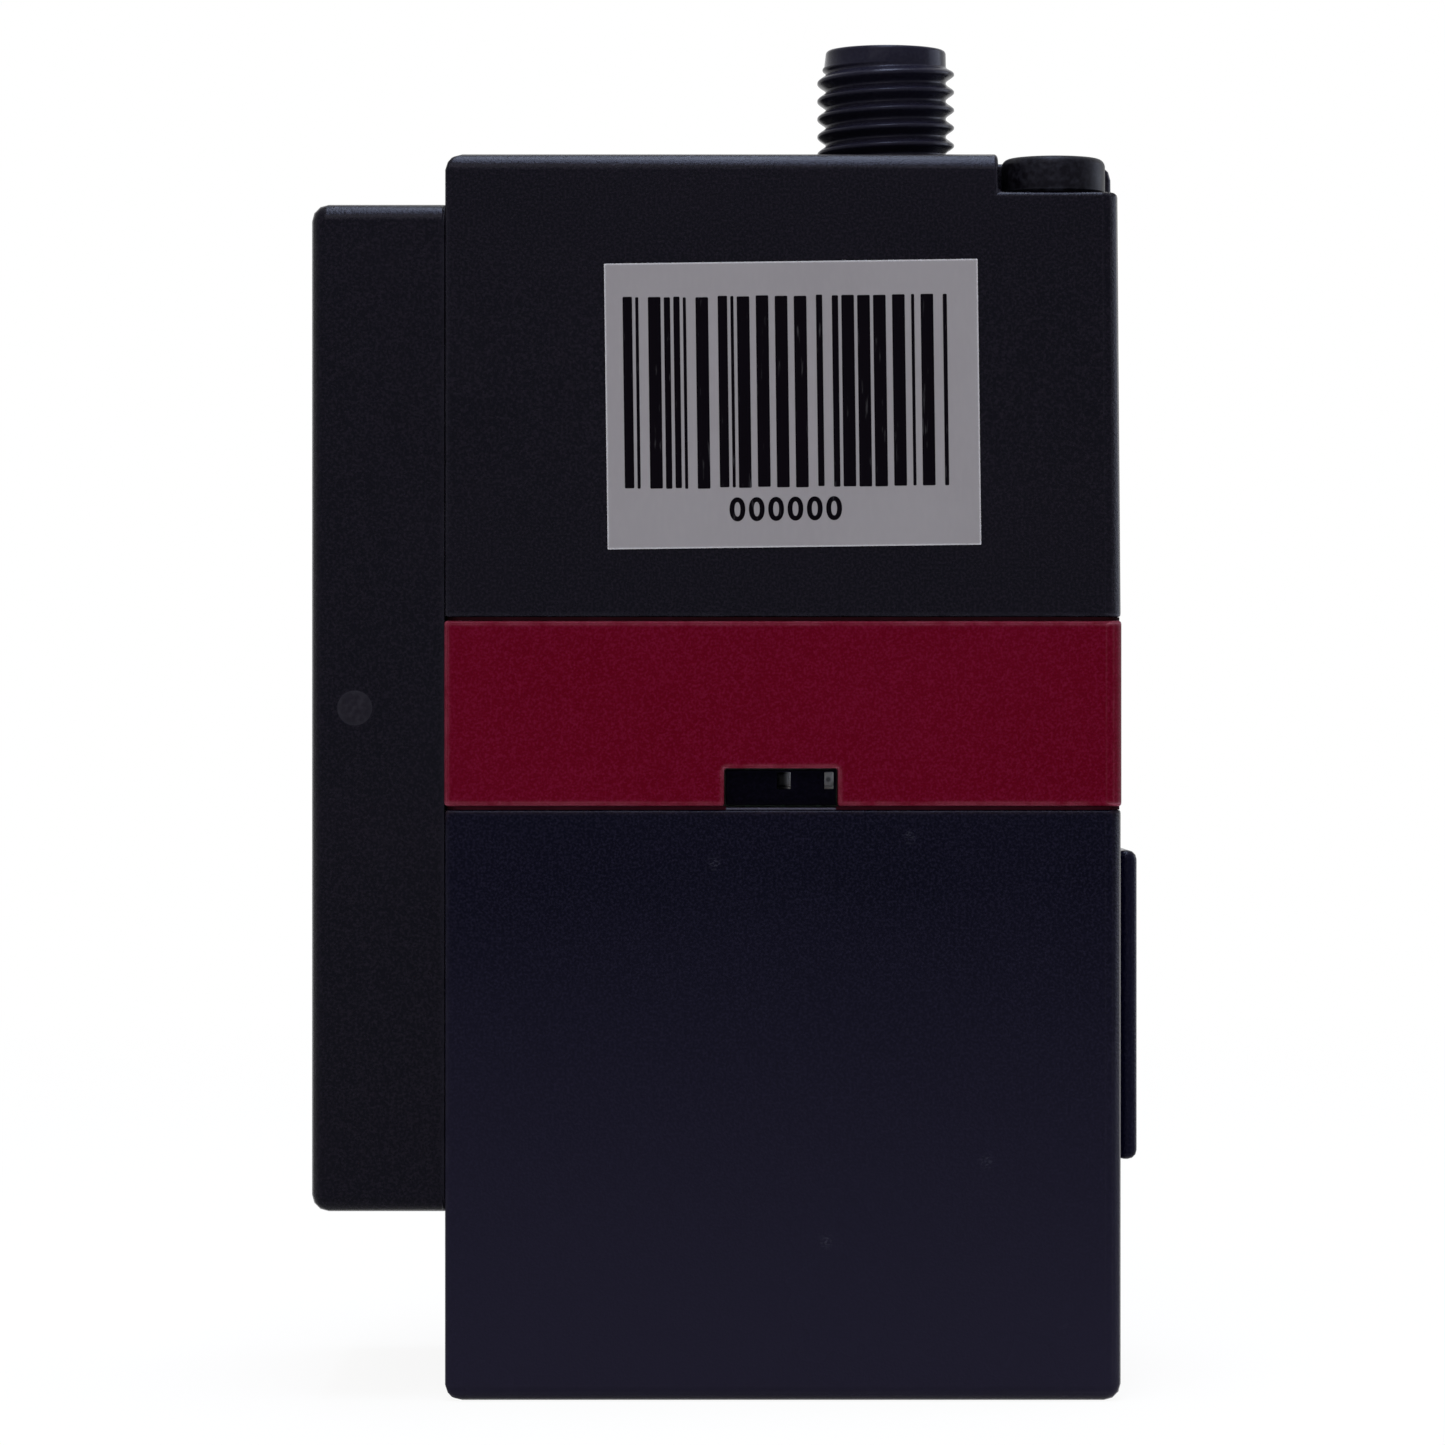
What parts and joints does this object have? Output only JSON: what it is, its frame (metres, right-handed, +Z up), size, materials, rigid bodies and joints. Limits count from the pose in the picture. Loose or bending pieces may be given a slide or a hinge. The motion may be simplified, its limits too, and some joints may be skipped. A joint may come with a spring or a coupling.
{
  "type": "fixed-mount barcode reader",
  "caption": "Compact fixed-mount barcode reader: stacked dark housing with a red band, optics hood with reading window, threaded round connector and spinning scan mirror inside.",
  "frame": {"origin": "middle of the main housing's base face", "axes": "+Z up towards the connector, -X out of the reading window, +X out of the mounting pad, -Y out of the side with the status lamps"},
  "size_m": [0.0448, 0.0301, 0.0741],
  "materials": {
    "housing_plastic": "near-black moulded plastic with a fine spark-eroded grain",
    "band_plastic": "crimson moulded plastic with a fine grain",
    "window_glass": "deep red filter glass, polished",
    "clear_plastic": "clear optical plastic",
    "rubber": "black seal rubber",
    "black_screw": "black-oxide steel",
    "connector_black": "black connector moulding",
    "steel": "bright steel",
    "brass": "turned brass",
    "gold": "gold-plated contact",
    "cast_metal": "die-cast aluminium",
    "mirror": "front-surface mirror",
    "circuit_board": "green solder-masked board",
    "component": "black component moulding",
    "led": "pale light-emitting diode package",
    "flex": "amber flexible circuit",
    "label_paper": "pale grey coated label stock"
  },
  "bodies": {
    "housing": {"lower_housing": "housing_plastic", "upper_housing": "housing_plastic", "optics_hood": "housing_plastic", "rear_pad": "housing_plastic", "accent_band": "band_plastic", "reading_window": "window_glass", "optical_filter": "window_glass", "status_bezel": "component", "collimator_lens": "clear_plastic", "collector_lens": "clear_plastic", "lower_gasket": "rubber", "upper_gasket": "rubber", "window_gasket": "rubber", "hood_gasket": "rubber", "connector_oring": "rubber", "housing_screw_front": "black_screw", "housing_screw_rear": "black_screw", "hood_screw_1": "black_screw", "hood_screw_2": "black_screw", "hood_screw_3": "black_screw", "hood_screw_4": "black_screw", "connector_shell": "connector_black", "status_screw": "steel", "board_screw_1": "steel", "board_screw_2": "steel", "chassis_screw_1": "steel", "chassis_screw_2": "steel", "chassis_screw_3": "steel", "bearing_front": "steel", "bearing_rear": "steel", "stator_core": "steel", "mount_insert_1": "brass", "mount_insert_2": "brass", "connector_retainer": "brass", "bearing_sleeve": "brass", "laser_barrel": "brass", "connector_pin_1": "gold", "connector_pin_2": "gold", "connector_pin_3": "gold", "connector_pin_4": "gold", "laser_diode": "gold", "optics_chassis": "cast_metal", "fold_mirror": "mirror", "main_board": "circuit_board", "status_board": "circuit_board", "receiver_board": "circuit_board", "motor_plate": "circuit_board", "connector_insert": "component", "processor_chip": "component", "power_inductor": "component", "photodiode": "component", "hood_pin": "component", "status_led_1": "led", "status_led_2": "led", "flex_cable": "flex", "label": "label_paper"},
    "rotor": {"motor_shaft": "steel", "rotor_cup": "steel", "polygon_clamp": "steel", "polygon_mirror": "mirror"}
  },
  "joints": [
    {"name": "mirror_spin", "type": "hinge", "parent": "housing", "child": "rotor", "pos_m": [-0.0025, 0, 0.042], "axis": [0, 1, 0], "continuous": true}
  ]
}
